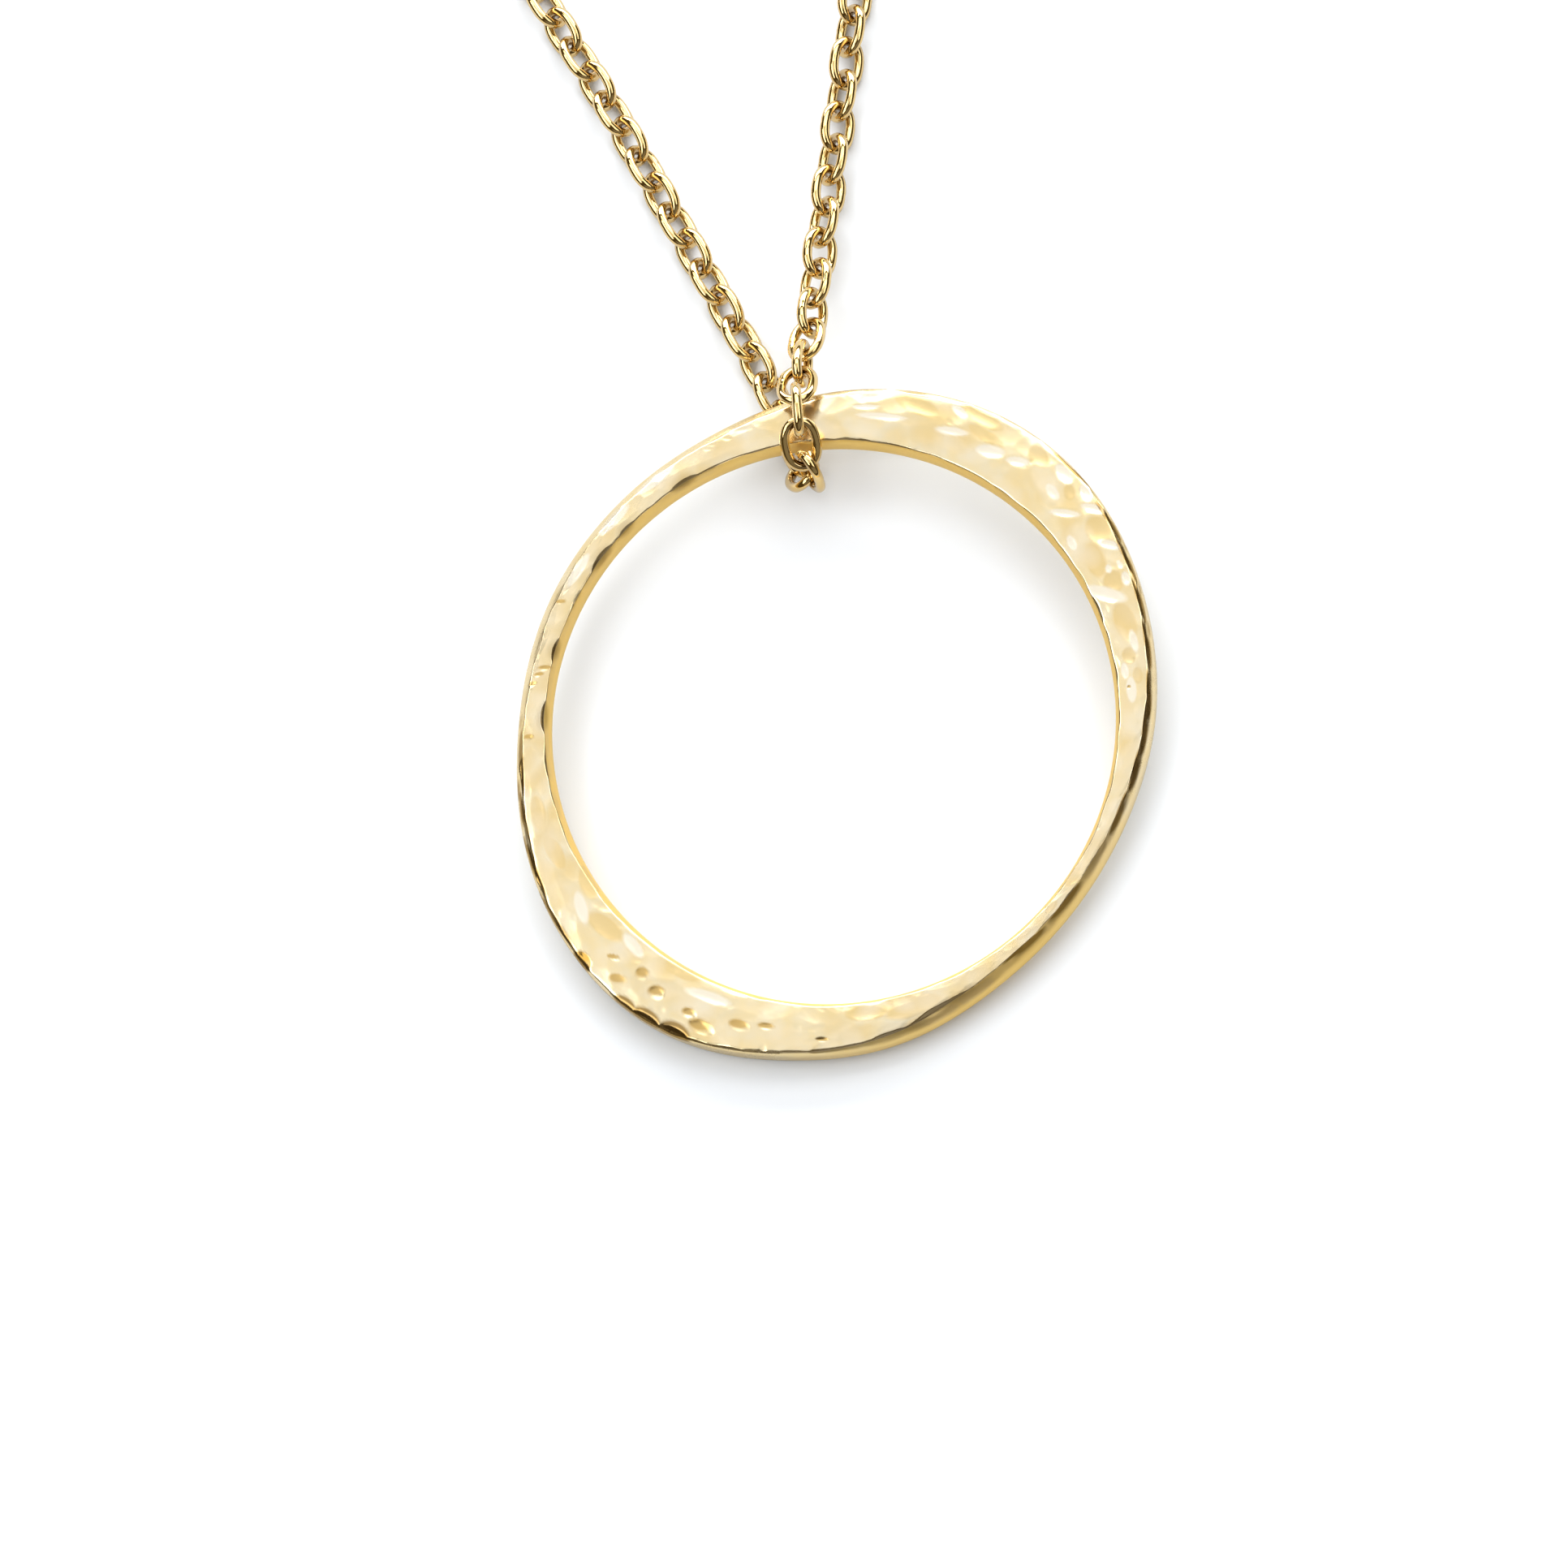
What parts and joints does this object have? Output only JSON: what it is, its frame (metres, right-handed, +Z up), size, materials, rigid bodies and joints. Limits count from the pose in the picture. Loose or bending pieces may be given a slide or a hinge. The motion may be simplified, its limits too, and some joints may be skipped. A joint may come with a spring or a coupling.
{
  "type": "circle necklace",
  "caption": "Necklace lying flat: an open hammered ring with an uneven width, hung on a fine cable chain that passes through it and closes at a plain clasp.",
  "frame": {"origin": "middle of the necklace's base, on the surface that it lies on", "axes": "+Y from the ring to the clasp, along the necklace's length; +X to the right as seen from above; +Z up from the surface"},
  "size_m": [0.0796, 0.2024, 0.0068],
  "materials": {
    "ring_gold": "hammered satin gold plate",
    "chain_gold": "polished gold plate"
  },
  "bodies": {
    "root": {"hammered_ring": "ring_gold", "chain_left": "chain_gold", "chain_right": "chain_gold", "clasp": "chain_gold"}
  },
  "joints": []
}
